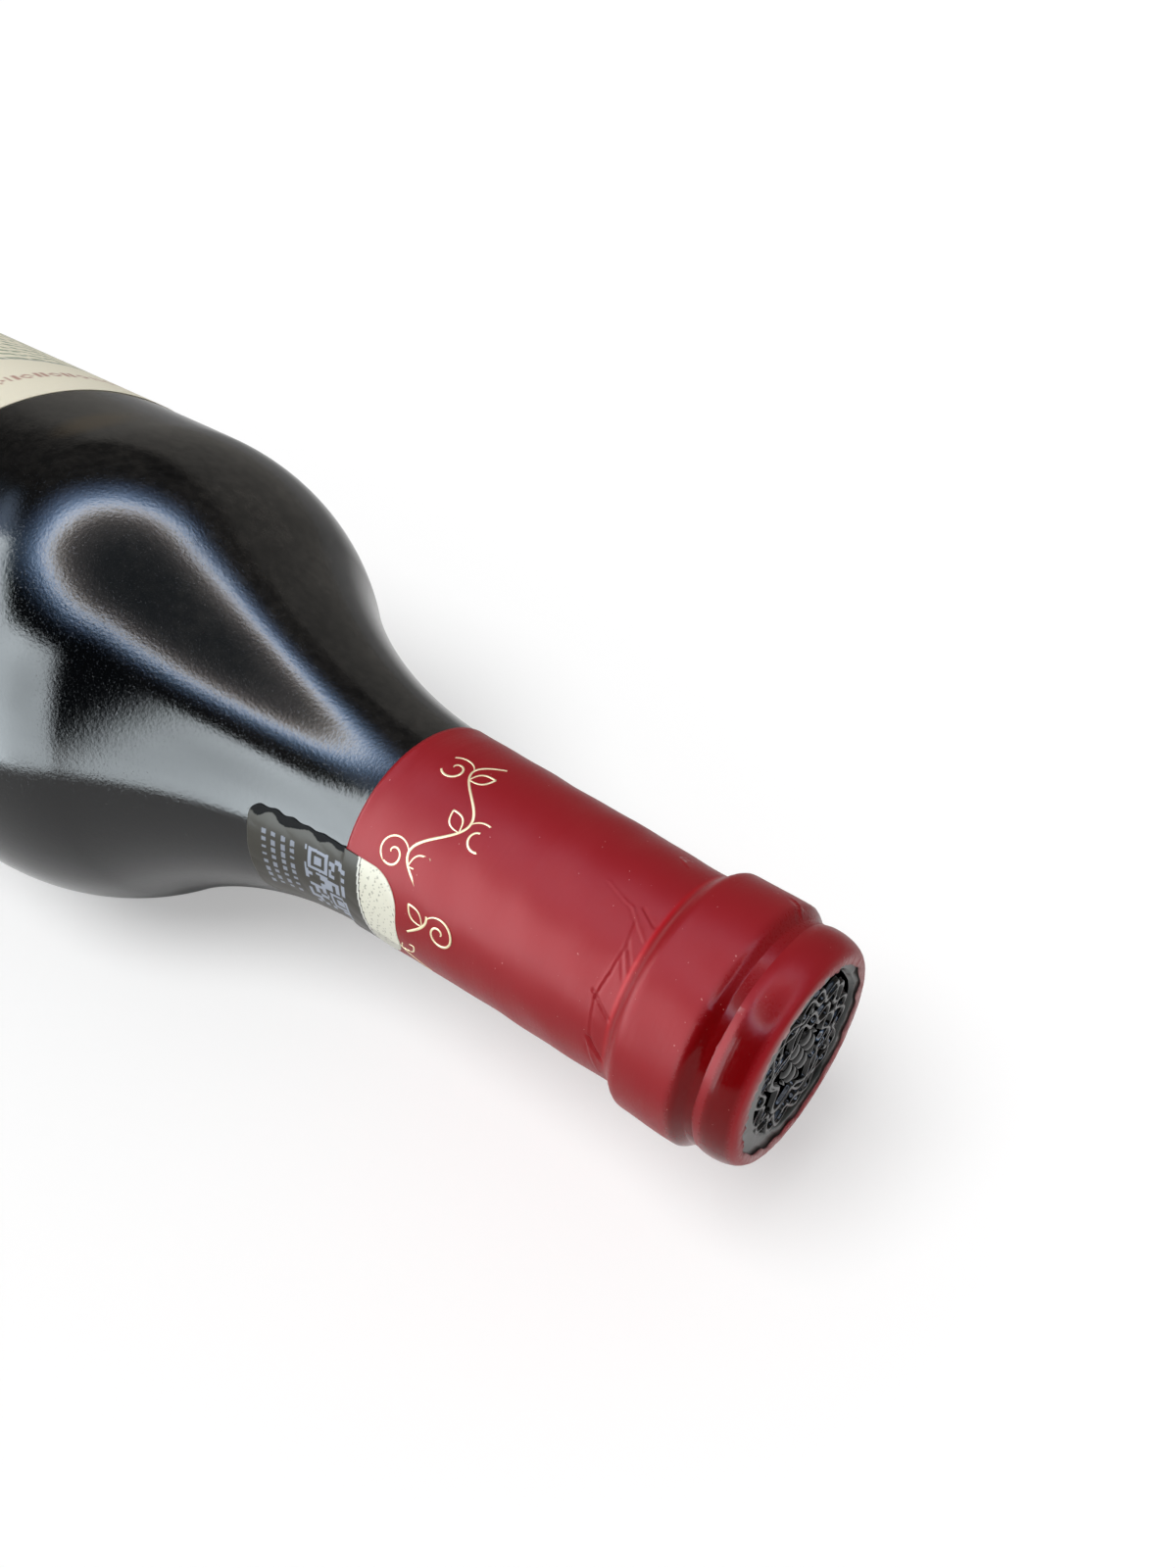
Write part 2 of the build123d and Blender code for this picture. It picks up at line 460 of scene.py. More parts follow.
# Red film over the neck: looks, mesh, then where its tones, folds and crumples lie
capsule = {
    "colour": (0.275, 0.0065, 0.011, 1),
    "worn": (0.42, 0.045, 0.050, 1),
    # Painted shade: the deep red of the film in the groove and over the lip
    "stretched": (0.140, 0.0006, 0.0014, 1),
    # Painted light: the bright red line in the crease at the band's foot
    "creaseLight": (0.40, 0.0015, 0.006, 1),
    # Pale wear at the crimp edge and in scuffs, and a painted highlight along the band's edge
    "paleWearAndHighlight": (0.42, 0.22, 0.22, 1),
    "pale": (0.55, 0.22, 0.20, 1),
    "roughness": 0.36,
    "ior": 1.27,
    "rubbed": 0.22,
    "smoothed": 0.21,
    "patchScale": 70,
    "streakScale": 900,
    "streakStretch": (2.4, 0.10, 0.10),
    "streakHeight": 0.000020,
    "speckScale": 2300,
    "speckStrength": 0.75,
    "grainScale": 3200,
    "grainHeight": 0.000007,
    "fineSpacing": 0.00018,
    "coarseSpacing": 0.00044,
    "fineMiddle": 0.0212,
    "fineHalf": 0.0042,
    "footDistance": 0.0174,
    "unevenness": 0.00004,
    "crimpSwing": 0.00028,
    "crimpHeight": 0.00018,
    "columns": 510,
    "fineFade": 0.0012,
    "innerThinning": 10,
    "grooveReach": (0.0046, 0.0058, 0.0070, 0.0085),
    "lipReach": (0.0004, 0.0014, 0.0036, 0.0046),
    # Painted shade and smoother gloss of the groove and lip: the bearings where both are fullest, then
    # the least and most of each
    "shadedGlossyBearings": (1.75, 2.30, 4.4, 5.2),
    "grooveTone": (0.40, 1.00),
    "lipTone": (0.15, 0.95),
    # Painted light in the crease: the bearing where it is strongest, its spread and its least share
    "creaseBearing": 2.2,
    "creaseSpread": 0.7,
    "creaseLeast": 0.30,
    # Painted highlight along the band's edge: its offset from the foot and its strength
    "edgeOffset": 0.0009,
    "edgeHighlight": 0.22,
    "creaseEdges": (0.00045, 0.00010),
    "crimpReach": (0.0016, 0.0002),
    "crimpDepth": 0.0012,
    "edgeWidths": (0.0004, 0.0001),
    "scuffRadius": 0.0145,
    "scuffGrain": 0.0007,
    "scuffTone": 0.9,
    "foldRadius": 0.0142,
    "foldWidth": 0.72,
    "foldSlope": 2.3,
    "waveLengths": (0.010, 0.014),
    "waveRadius": 0.015,
    "liftFrom": 0.0130,
    "liftFull": 0.0138,
    "lowerFade": 0.002,
    "crumpleReach": 0.0011,
    "crumpleRadius": 0.012,
    "crumpleGrain": 0.0011,
    "raggedGrain": 0.0035,
}


# Scuffed spots: distance from the mouth, bearing in degrees and radius
capsuleScuffs = [
    (0.0217, 60, 0.0014),
    (0.0078, 57, 0.0012),
    (0.0052, 120, 0.0009),
    (0.0330, 300, 0.0016),
]


# Folds pressed into the film: distance and bearing at each end, height and width in millimetres,
# and how much of the height is one side up and the other down
capsuleFolds = [
    (25.6, 101, 22.6, 105, 0.06, 0.17, 1.0),
    (22.6, 105, 21.4, 106, 0.09, 0.17, 1.0),
    (21.4, 106, 19.9, 111, 0.12, 0.18, 1.0),
    (20.2, 104, 18.1, 109, -0.14, 0.22, 1.0),
    (19.6, 112, 18.0, 117, 0.10, 0.24, 0.8),
    (19.5, 121, 18.0, 129, -0.10, 0.22, 0.6),
    (19.3, 125, 18.0, 133, 0.10, 0.22, 0.8),
    (19.2, 129, 18.1, 136, -0.08, 0.20, 0.6),
    (20.1, 111, 19.4, 124, -0.11, 0.18, 0.8),
    (19.4, 124, 19.6, 137, -0.11, 0.18, 0.8),
    (19.6, 137, 20.1, 150, -0.11, 0.18, 0.8),
    (20.1, 150, 19.3, 176, -0.08, 0.20, 0.8),
    (20.6, 148, 17.8, 157, -0.15, 0.20, 0.9),
    (19.7, 172, 17.9, 182, -0.34, 0.26, 0.4),
    (19.6, 176, 18.5, 196, 0.10, 0.28, 0.8),
    (19.4, 215, 18.0, 222, -0.16, 0.24, 0.6),
    (20.3, 255, 18.1, 247, 0.12, 0.22, 0.9),
    (19.5, 290, 18.0, 300, -0.13, 0.22, 0.8),
    (22.4, 325, 18.3, 318, 0.10, 0.26, 0.9),
    (21.9, 62, 20.8, 66, 0.06, 0.30, 0.6),
    (8.6, 55, 6.8, 61, 0.12, 0.24, 0.9),
    (8.2, 58, 6.4, 66, -0.10, 0.22, 0.8),
    (7.0, 128, 5.6, 139, 0.10, 0.30, 0.8),
    (7.4, 133, 6.0, 143, -0.08, 0.24, 0.8),
]


# Satin red film: streaks that run round it, patches rubbed paler, a few pale scuff points, and a
# smoother gloss and a painted deep red shade where the print attribute says that it is stretched, painted
# light in the crease and a painted highlight along the band's edge
def makeFilmMaterial():
    tree = Tree("redFilm")
    patches = tree.ramp(tree.noise(capsule["patchScale"], 4, 0.6), 0.48, 0.80)
    streaks = tree.noise(capsule["streakScale"], 3, 0.6, capsule["streakStretch"])
    rubbed = tree.times(patches, tree.ramp(streaks, 0.35, 0.7, 0.35, 1.0))
    rubbed = tree.times(rubbed, capsule["rubbed"])
    colour = tree.mix(rubbed, capsule["colour"], capsule["worn"])
    tones = tree.add("ShaderNodeSeparateColor", {}, {0: tree.inks()}).outputs
    # Painted shade: deep red where the film is stretched, in the groove and over the lip
    colour = tree.mix(tones[0], colour, capsule["stretched"])
    # Painted light: a bright red line in the crease at the band's foot
    colour = tree.mix(tones[1], colour, capsule["creaseLight"])
    # Pale wear at the crimp edge and in scuffs, and a painted highlight along the band's edge
    crimp = tree.times(tones[2], tree.ramp(streaks, 0.3, 0.6))
    colour = tree.mix(crimp, colour, capsule["paleWearAndHighlight"])
    specks = tree.ramp(tree.noise(capsule["speckScale"], 1, 0.4), 0.79, 0.81)
    specks = tree.times(specks, capsule["speckStrength"])
    colour = tree.mix(specks, colour, capsule["pale"])
    grain = tree.noise(capsule["grainScale"], 2, 0.6)
    middle = capsule["roughness"]
    satin = tree.ramp(grain, 0.25, 0.75, middle - 0.05, middle + 0.07)
    smoothed = tree.times(tones[0], capsule["smoothed"])
    roughness = tree.math("SUBTRACT", satin, smoothed)
    lines = tree.bump(streaks, 1.0, capsule["streakHeight"])
    normal = tree.bump(grain, 1.0, capsule["grainHeight"], lines)
    return tree.surface({
        "Base Color": colour,
        "Roughness": roughness,
        "IOR": capsule["ior"],
        "Normal": normal,
    })


# Height that one fold adds: a ridge's bell curve, blended with its slope so that one side rises
# and the other sinks, fading out at both ends
def foldHeight(distance, arc, radius, fold):
    startDistance, startBearing, endDistance, endBearing, height, width, lean = fold
    start = np.array([startDistance / 1000, math.radians(startBearing) * radius])
    run = np.array([endDistance / 1000, math.radians(endBearing) * radius]) - start
    length = math.hypot(*run)
    alongX, alongArc = run / length
    forward = (distance - start[0]) * alongX + (arc - start[1]) * alongArc
    aside = (arc - start[1]) * alongX - (distance - start[0]) * alongArc
    share = np.clip(forward / length, 0, 1)
    beyond = (forward - share * length) / (width / 1000)
    offset = aside / (capsule["foldWidth"] * width / 1000)
    bell = np.exp(-np.abs(offset) ** 1.4 - beyond ** 2)
    slope = capsule["foldSlope"] * offset * bell
    return height / 1000 * (lean * slope + (1 - 0.6 * lean) * bell)


# Tones of the film. Red is where it is stretched and shaded, over the groove and the lip and most at the
# shaded, glossy bearings: a smoother gloss and a painted deep red shade. Green is painted light, a bright
# red line in the crease at the band's foot. Blue is pale wear at the crimp edge and in scuffed spots, and
# a painted highlight along the band's edge.
def filmTones(distance, bearing, radius, opening):
    # The painted shade is deepest round these bearings, where the film is also smoothest
    glossy = plateau(bearing, *capsule["shadedGlossyBearings"])
    leastGroove, fullGroove = capsule["grooveTone"]
    leastLip, fullLip = capsule["lipTone"]
    groove = plateau(distance, *capsule["grooveReach"])
    groove = groove * (leastGroove + (fullGroove - leastGroove) * glossy)
    lip = plateau(distance, *capsule["lipReach"])
    lip = lip * (leastLip + (fullLip - leastLip) * glossy)
    foot = capsule["footDistance"]
    # Painted light in the crease, strongest round one bearing
    aside = (bearing - capsule["creaseBearing"]) / capsule["creaseSpread"]
    creaseLightByBearing = capsule["creaseLeast"] + (1 - capsule["creaseLeast"]) * np.exp(-aside ** 2)
    creaseLight = creaseLightByBearing * smoothStep(*capsule["creaseEdges"], np.abs(distance - foot))
    crimpFade, crimpFull = capsule["crimpReach"]
    crimp = smoothStep(opening + crimpFade, opening + crimpFull, radius)
    pale = crimp * (distance < capsule["crimpDepth"])
    # Painted highlight along the band's edge
    fromEdge = np.abs(distance - foot + capsule["edgeOffset"])
    edge = smoothStep(*capsule["edgeWidths"], fromEdge)
    pale = np.maximum(pale, capsule["edgeHighlight"] * edge)
    arc = bearing * capsule["scuffRadius"]
    torn = wavyNoise(distance, arc, capsule["scuffGrain"], 51, 12) > 0.35
    for scuffDistance, scuffBearing, size in capsuleScuffs:
        scuffArc = math.radians(scuffBearing) * capsule["scuffRadius"]
        away = np.hypot(distance - scuffDistance, arc - scuffArc)
        pale = np.maximum(pale, capsule["scuffTone"] * torn * smoothStep(size, 0.3 * size, away))
    return np.stack([np.maximum(groove, lip), creaseLight, pale, np.ones(distance.shape)], axis=-1)


# The red film: finish and neck grown by the film, folded in over the disc, then back along the
# glass. Waves and folds lift its outer side.
def makeCapsule():
    columns = capsule["columns"]
    film = shape["filmWall"]
    discRadius = shape["neckRadius"] + shape["lipStep"] - shape["mouthInset"]
    opening = discRadius - shape["foldOverlap"]
    outer = np.concatenate([[[0, opening]], finishOutline(film, 0), wallOutline(film)])
    outer = outer[outer[:, 0] < capsuleLength]
    outer = np.concatenate([outer, [[capsuleLength, glassRadius(capsuleLength) + film]]])
    beyondFine = np.abs(outer[:, 0] - capsule["fineMiddle"]) - capsule["fineHalf"]
    nearFoot = smoothStep(capsule["fineFade"], 0, beyondFine)
    finer = capsule["fineSpacing"] - capsule["coarseSpacing"]
    outer = respaced(outer, capsule["coarseSpacing"] + finer * nearFoot)
    inner = outer[::-capsule["innerThinning"]] - [0, film]
    inner = inner[inner[:, 0] > shape["endStack"]]
    closing = [
        [shape["endStack"], discRadius],
        [shape["foldDepth"], discRadius],
        [shape["foldDepth"], opening],
    ]
    outline = np.concatenate([outer, inner, closing])
    bearing = np.linspace(0, 2 * np.pi, columns, endpoint=False)[None, :]
    distance = outline[:, :1]
    radius = outline[:, 1:]
    y = np.cos(bearing)
    z = np.sin(bearing)
    firstLength, secondLength = capsule["waveLengths"]
    waves = wavyNoise(distance, z * capsule["waveRadius"], firstLength, 4) * capsule["unevenness"]
    lift = waves + wavyNoise(distance, y * capsule["waveRadius"], secondLength, 5) * capsule["unevenness"]
    arc = bearing * capsule["foldRadius"]
    for fold in capsuleFolds:
        lift = lift + foldHeight(distance, arc, capsule["foldRadius"], fold)
    outside = (np.arange(len(outline)) < len(outer))[:, None]
    tall = smoothStep(capsule["liftFrom"], capsule["liftFull"], radius)
    lift = lift * outside * tall
    lift = lift * smoothStep(capsuleLength, capsuleLength - capsule["lowerFade"], distance)
    nearOpening = smoothStep(opening + capsule["crumpleReach"], opening, radius)
    y = y * capsule["crumpleRadius"]
    z = z * capsule["crumpleRadius"]
    ragged = wavyNoise(y, z, capsule["raggedGrain"], 8)
    crumple = wavyNoise(y, z + radius, capsule["crumpleGrain"], 9)
    radius = radius + lift + nearOpening * ragged * capsule["crimpSwing"]
    onFace = nearOpening * (distance < shape["foldDepth"])
    distance = distance + onFace * (0.5 + 0.5 * crumple) * capsule["crimpHeight"]
    points = aroundBottle(distance, bearing, radius)
    inks = filmTones(distance + 0 * bearing, bearing + 0 * distance, radius, opening)
    faces = gridFaces(len(outline), columns, closedRows=True, closedColumns=True).tolist()
    piece = makePiece("neckCapsule", points, faces, makeFilmMaterial(), inks)
    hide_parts("capsule")
    print("capsule", len(faces))


# Black disc on the mouth: looks, mesh and relief
disc = {
    "colour": (0.0025, 0.0024, 0.0020, 1),
    "smear": (0.060, 0.064, 0.060, 1),
    "roughness": 0.13,
    "smearRoughness": 0.30,
    "smearScale": 420,
    "grainScale": 1500,
    "ior": 1.45,
    "rows": 150,
    "columns": 400,
    "rimInner": 0.0098,
    "offCentre": 0.0009,
    "sunk": 0.00062,
    "relief": 0.00056,
    "stroke": 0.00048,
    "waves": [
        (0.0084, 0.00110, 9, 0.0),
        (0.0084, 0.00110, 9, 2.2),
        (0.0056, 0.00115, 5, 0.6),
        (0.0056, 0.00115, 6, 3.3),
    ],
    "spokes": 15,
    "spokeReach": (0.0070, 0.0072, 0.0080, 0.0082),
    "berryPitch": 0.00240,
    "bunchRadius": 0.0036,
    "berryRadius": 0.47,
    "rimSoft": 0.0007,
    "wander": 0.00030,
    "wanderGrain": 0.011,
    "dish": 0.00010,
    "dishGrain": 0.006,
    "underFold": 0.00012,
    "outerFade": 0.0008,
    "innerRadius": 0.0002,
}


# Glossy black film, greyer where the print attribute says that it is stretched smooth
def makeDiscMaterial():
    tree = Tree("blackFilm")
    stretched = tree.inks()
    smear = tree.ramp(tree.noise(disc["smearScale"], 3, 0.6), 0.35, 0.75, 0.55, 1.0)
    colour = tree.mix(tree.times(stretched, smear), disc["colour"], disc["smear"])
    roughness = tree.ramp(stretched, 0, 1, disc["roughness"], disc["smearRoughness"])
    normal = tree.bump(tree.noise(disc["grainScale"], 2, 0.5), 1.0, 0.00001)
    return tree.surface({
        "Base Color": colour,
        "Roughness": roughness,
        "IOR": disc["ior"],
        "Normal": normal,
    })


# Raised strokes on the disc, 0 to 1: waves that cross round two circles, spokes in a ring between
# them, and a bunch of round berries in the middle on a lattice of triangles
def discRelief(radius, bearing):
    stroke = disc["stroke"]
    total = np.zeros(np.broadcast(radius, bearing).shape)
    for middle, swing, count, turn in disc["waves"]:
        gap = radius - middle - swing * np.sin(count * bearing + turn)
        total = np.maximum(total, smoothStep(stroke, 0.4 * stroke, np.abs(gap)))
    sector = 2 * np.pi / disc["spokes"]
    spokes = np.abs((bearing / sector) % 1 - 0.5) * radius * sector
    inBand = plateau(radius, *disc["spokeReach"])
    total = np.maximum(total, inBand * smoothStep(stroke, 0.5 * stroke, spokes))
    pitch = disc["berryPitch"]
    rowPitch = pitch * 0.866
    y = radius * np.cos(bearing)
    z = radius * np.sin(bearing)
    row = np.round(z / rowPitch)
    shift = 0.5 * (row % 2)
    column = np.round(y / pitch - shift)
    away = np.hypot(y - (column + shift) * pitch, z - row * rowPitch)
    berry = np.sqrt(np.clip(1 - (away / (disc["berryRadius"] * pitch)) ** 2, 0, 1))
    return np.maximum(total, berry * (radius < disc["bunchRadius"]))


# The disc: a polar grid whose height is the rim, a soft step down and the relief in the middle
def makeDisc():
    columns = disc["columns"]
    outerRadius = shape["neckRadius"] + shape["lipStep"] - shape["mouthInset"]
    radius = np.linspace(outerRadius, disc["innerRadius"], disc["rows"])[:, None]
    bearing = np.linspace(0, 2 * np.pi, columns, endpoint=False)[None, :]
    y = np.cos(bearing)
    z = np.sin(bearing)
    wander = wavyNoise(y * 0.01, z * 0.01, disc["wanderGrain"], 21) * disc["wander"]
    wander = wander - disc["offCentre"] * y
    step = smoothStep(disc["rimInner"] + disc["rimSoft"], disc["rimInner"], radius + wander)
    dish = disc["dish"] * wavyNoise(radius * y, radius * z, disc["dishGrain"], 22)
    raised = discRelief(radius, bearing) * step * disc["relief"]
    depth = shape["foldDepth"] + disc["underFold"] + step * disc["sunk"] - raised
    inside = smoothStep(outerRadius, outerRadius - disc["outerFade"], radius)
    depth = depth + (1 - step) * np.abs(dish) * inside
    top = aroundBottle(depth, bearing, radius)
    wall = aroundBottle(np.full((1, 1), shape["endStack"]), bearing, np.full((1, 1), outerRadius))
    rings = np.concatenate([wall, top])
    rows = len(rings)
    poles = [
        [mouthX - depth[-1].mean(), 0, axisHeight],
        [mouthX - shape["endStack"], 0, axisHeight],
    ]
    points = np.concatenate([rings.reshape(-1, 3), poles])
    faces = gridFaces(rows, columns, closedRows=True)[:, ::-1].tolist()
    faces += closingFan((rows - 1) * columns, columns, rows * columns)
    faces += closingFan(0, columns, rows * columns + 1, flip=True)
    smooth = np.concatenate([np.ones((1, columns)), 1 - step]).ravel()
    grey = np.concatenate([smooth, [0, 1]])
    inks = np.stack([grey, grey, grey, np.ones(len(grey))], axis=1)
    piece = makePiece("mouthDisc", points, faces, makeDiscMaterial(), inks)
    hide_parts("capsule_disc")
    print("disc", len(faces))


# A patch of film or paper that lies on the bottle: a grid of (distance, bearing) with its outer
# radius, closed underneath by the same grid sunk to the inner radius
def makePatch(name, distance, bearing, outer, inner, material, inks):
    rows, columns = outer.shape
    top = aroundBottle(distance, bearing, outer).reshape(-1, 3)
    under = aroundBottle(distance, bearing, inner).reshape(-1, 3)
    topFaces = gridFaces(rows, columns)
    count = rows * columns
    grid = np.arange(count).reshape(rows, columns)
    rim = np.concatenate([grid[0, :-1], grid[:-1, -1], grid[-1, :0:-1], grid[:0:-1, 0]])
    following = np.roll(rim, -1)
    walls = np.stack([rim, rim + count, following + count, following], axis=1)
    faces = np.concatenate([topFaces, topFaces[:, ::-1] + count, walls]).tolist()
    gloss = (inks.sum(axis=-1, keepdims=True) > 0.02).astype(float)
    colours = np.concatenate([inks, gloss], axis=-1).reshape(-1, 4)
    colours = np.concatenate([colours, colours])
    piece = makePiece(name, np.concatenate([top, under]), faces, material, colours)
    print(name, len(faces))
    return piece


# Colour laid over another where a mask is 1
def inked(base, mask, colour):
    return base + mask[..., None] * (np.array(colour) - base)


# 1 inside a box of the patch's own millimetres, with edges as sharp as the grid
def boxMask(x, y, left, right, low, high):
    return ((x > left) & (x < right) & (y > low) & (y < high)).astype(float)


# Seal: mesh and looks in metres, and its print in millimetres
seal = {
    "rows": 190,
    "columns": 130,
    "halfWidth": 0.00715,
    "halfWidthRadius": 0.0153,
    "roundEnd": 0.0044,
    "roundFoot": 0.0016,
    "wall": 0.00012,
    "film": (0.050, 0.047, 0.038),
    "marks": (0.34, 0.38, 0.46),
    "torn": (0.004, 0.004, 0.004),
    "silver": (0.80, 0.80, 0.68),
    "flecks": (0.42, 0.42, 0.34),
    "line": (0.85, 0.86, 0.80),
    "roughness": (0.95, 0.30),
    "ior": 1.28,
    "cell": 0.62,
    "fieldStart": (8.6, 2.2),
    "fieldCells": (11, 16),
    "framedPlaces": [(11.7, 2.2), (8.6, 8.1)],
    "framedSize": 3.1,
    "framedInsets": [(-0.3, "film"), (0, "marks"), (0.45, "film"), (0.95, "marks")],
    "barPlaces": (17.0, 18.4, 20.0, 21.4),
    "barCount": 8,
    "barStart": 2.6,
    "barPitch": 1.15,
    "silverEnd": 6.9,
    "silverSlant": 0.11,
    "silverMargin": 0.45,
    "lineWidth": 0.28,
    "dimFrom": 10.6,
    "tornFrom": 9.2,
    "ragged": 0.00012,
    "raggedGrain": 0.0016,
    "waves": 0.00003,
    "waveGrain": 0.006,
    "grainScale": 600,
    "grainHeight": 0.000012,
}


# Seal film coloured by its print, whose alpha says how glossy it is
def makeSealMaterial():
    tree = Tree("sealFilm")
    normal = tree.bump(tree.noise(seal["grainScale"], 3, 0.5), 1.0, seal["grainHeight"])
    glossy = tree.add("ShaderNodeAttribute", {"attribute_name": "print"}).outputs["Alpha"]
    roughness = tree.ramp(glossy, 0, 1, *seal["roughness"])
    return tree.surface({
        "Base Color": tree.inks(),
        "Roughness": roughness,
        "IOR": seal["ior"],
        "Normal": normal,
    })


# Print on the seal in millimetres from its silver end and across from its upper edge: a silver
# patch with flecks, a thin line, a field of random squares with framed ones, and short bars
def sealPrint(along, across):
    random = np.random.default_rng(31)
    inks = np.broadcast_to(np.array(seal["film"]), along.shape + (3,)).copy()
    warp = wavyNoise(along / 1000, across / 1000, 0.004, 33) * 0.25
    fieldAlong, fieldAcross = seal["fieldStart"]
    columns, rows = seal["fieldCells"]
    column = np.floor((along - fieldAlong) / seal["cell"]).astype(int)
    row = np.floor((across - fieldAcross) / seal["cell"]).astype(int)
    pattern = random.random((columns + 1, rows + 1)) < 0.5
    inField = (column >= 0) & (column < columns) & (row >= 0) & (row < rows)
    squares = pattern[np.clip(column, 0, columns), np.clip(row, 0, rows)] & inField
    inks = inked(inks, squares.astype(float), seal["marks"])
    for left, low in seal["framedPlaces"]:
        right, high = left + seal["framedSize"], low + seal["framedSize"]
        for inset, colour in seal["framedInsets"]:
            sides = (left + inset, right - inset, low + inset, high - inset)
            inks = inked(inks, boxMask(along, across, *sides), seal[colour])
    for place in seal["barPlaces"]:
        for bar in range(seal["barCount"]):
            start = seal["barStart"] + bar * seal["barPitch"]
            length = 0.35 + 0.5 * random.random()
            mark = boxMask(along, across, place, place + seal["cell"], start, start + length)
            inks = inked(inks, mark * 0.75, seal["marks"])
    edge = seal["silverEnd"] - seal["silverSlant"] * across
    fleck = (wavyNoise(along / 1000, across / 1000, 0.0006, 35, 14) > 1.05).astype(float)
    dim = boxMask(along, across, -1, edge, seal["dimFrom"], 20)
    plain = np.broadcast_to(np.array(seal["silver"]), inks.shape)
    silver = inked(plain, fleck, seal["flecks"])
    silver = silver * (1 - 0.25 * dim[..., None])
    inks = np.where((along < edge - seal["silverMargin"])[..., None], silver, inks)
    line = boxMask(along, across, edge - seal["lineWidth"], edge, -1, 20)
    inks = inked(inks, line, seal["line"])
    torn = (across < 1.0 + 2.4 * warp) & (along > seal["tornFrom"])
    return inked(inks, torn.astype(float), seal["torn"])


# The seal: its half-width shrinks in quarter circles at the corners, and its upper edge is ragged
def makeSeal():
    length = sealEnd - sealStart
    along = np.linspace(0, length, seal["rows"])[:, None]
    across = np.linspace(-1, 1, seal["columns"])[None, :]
    roundEnd = seal["roundEnd"]
    roundFoot = seal["roundFoot"]
    fromEnd = np.clip(roundEnd - along, 0, roundEnd)
    fromFoot = np.clip(along - length + roundFoot, 0, roundFoot)
    cut = roundEnd - np.sqrt(roundEnd ** 2 - fromEnd ** 2)
    cut = cut + roundFoot - np.sqrt(roundFoot ** 2 - fromFoot ** 2)
    half = seal["halfWidth"] - cut
    ragged = wavyNoise(along, 0 * along, seal["raggedGrain"], 36) * seal["ragged"]
    ragged = ragged * smoothStep(0.009, 0.010, along)
    offset = across * half + np.clip(-across, 0, 1) * ragged
    distance = sealStart + along + 0 * offset
    radius = glassRadius(distance)
    onFilm = smoothStep(capsuleLength + 0.0006, capsuleLength - 0.0001, distance)
    inner = radius + shape["filmWall"] * onFilm
    sideways = np.arcsin(np.clip(offset / radius, -0.98, 0.98))
    bearing = np.pi + sideways * radius / seal["halfWidthRadius"]
    waves = np.abs(wavyNoise(distance, offset, seal["waveGrain"], 37)) * seal["waves"]
    outer = inner + seal["wall"] + waves
    inks = sealPrint(along * 1000 + 0 * offset, (offset + seal["halfWidth"]) * 1000)
    piece = makePatch(
        "neckSeal", distance, bearing, outer, inner, makeSealMaterial(), inks
    )
    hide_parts("neck_seal")


# Paper label: its bearings in degrees, and its print in millimetres
label = {
    "columns": 250,
    "from": 38.0,
    "to": 174.0,
    "wall": 0.00012,
    "paper": (0.76, 0.71, 0.56),
    "redBrown": (0.30, 0.085, 0.060),
    "green": (0.10, 0.17, 0.075),
    "grey": (0.25, 0.26, 0.22),
    "gold": (0.55, 0.40, 0.14),
    "fibre": (0.60, 0.57, 0.46, 1),
    "roughness": 0.75,
    "fineLength": 0.030,
    "rowsInEach": 110,
    "motifPlace": 8.2,
    "motifPitch": 4.6,
    "hillTop": 15.5,
    "hillFoot": 44,
    "ovalPlace": 72,
    "ovalHalf": (17, 27),
    "bars": [(98, 22), (102, 15), (106, 18)],
    "fibreScale": 1500,
    "fibreHeight": 0.000008,
    "ior": 1.4,
}


# Paper in its print's colours, toned and roughened by a noise of fibres
def makePaperMaterial():
    tree = Tree("labelPaper")
    fibre = tree.noise(label["fibreScale"], 4, 0.65)
    toned = tree.mix(tree.ramp(fibre, 0.3, 0.7, 0, 0.10), tree.inks(), label["fibre"])
    normal = tree.bump(fibre, 1.0, label["fibreHeight"])
    return tree.surface({
        "Base Color": toned,
        "Roughness": label["roughness"],
        "IOR": label["ior"],
        "Normal": normal,
    })


# Print on the label in millimetres from its upper edge and round the bottle: a red-brown row of
# diamonds and bars, hills of vine rows under it, and a framed oval with bars further down
def labelPrint(along, across):
    inks = np.broadcast_to(np.array(label["paper"]), along.shape + (3,)).copy()
    pitch = label["motifPitch"]
    local = np.abs((across % pitch) - pitch / 2)
    aside = np.abs(along - label["motifPlace"])
    diamond = (local + aside < 1.15) & (local + aside > 0.62)
    bars = (np.abs(local - 1.75) < 0.26) & (aside < 1.1)
    inks = inked(inks, (diamond | bars).astype(float) * 0.8, label["redBrown"])
    hill = label["hillTop"] + 2.4 * np.sin(across / 11) + 1.2 * np.sin(across / 4.3 + 1)
    inHills = (along > hill) & (along < label["hillFoot"])
    rows = np.sin((along - hill) * 2.6 + 0.5 * np.sin(across * 1.7)) > 0.15
    tufts = wavyNoise(along / 1000, across / 1000, 0.0013, 41, 14) > -0.1
    inks = inked(inks, (inHills & rows & tufts).astype(float) * 0.75, label["green"])
    crest = np.abs(along - hill) < 0.35
    inks = inked(inks, crest.astype(float) * 0.7, label["grey"])
    middle = across.mean()
    halfAlong, halfAcross = label["ovalHalf"]
    oval = np.hypot((along - label["ovalPlace"]) / halfAlong, (across - middle) / halfAcross)
    inks = inked(inks, (np.abs(oval - 1) < 0.03).astype(float), label["gold"])
    inks = inked(inks, (np.abs(oval - 0.9) < 0.012).astype(float), label["redBrown"])
    sprig = np.abs((across - middle) - 3 * np.sin((along - 60) / 4)) < 0.5
    inks = inked(inks, (sprig & (oval < 0.8)).astype(float), label["green"])
    for place, half in label["bars"]:
        bar = (np.abs(along - place) < 0.5) & (np.abs(across - middle) < half)
        inks = inked(inks, bar.astype(float) * 0.8, label["redBrown"])
    return inks


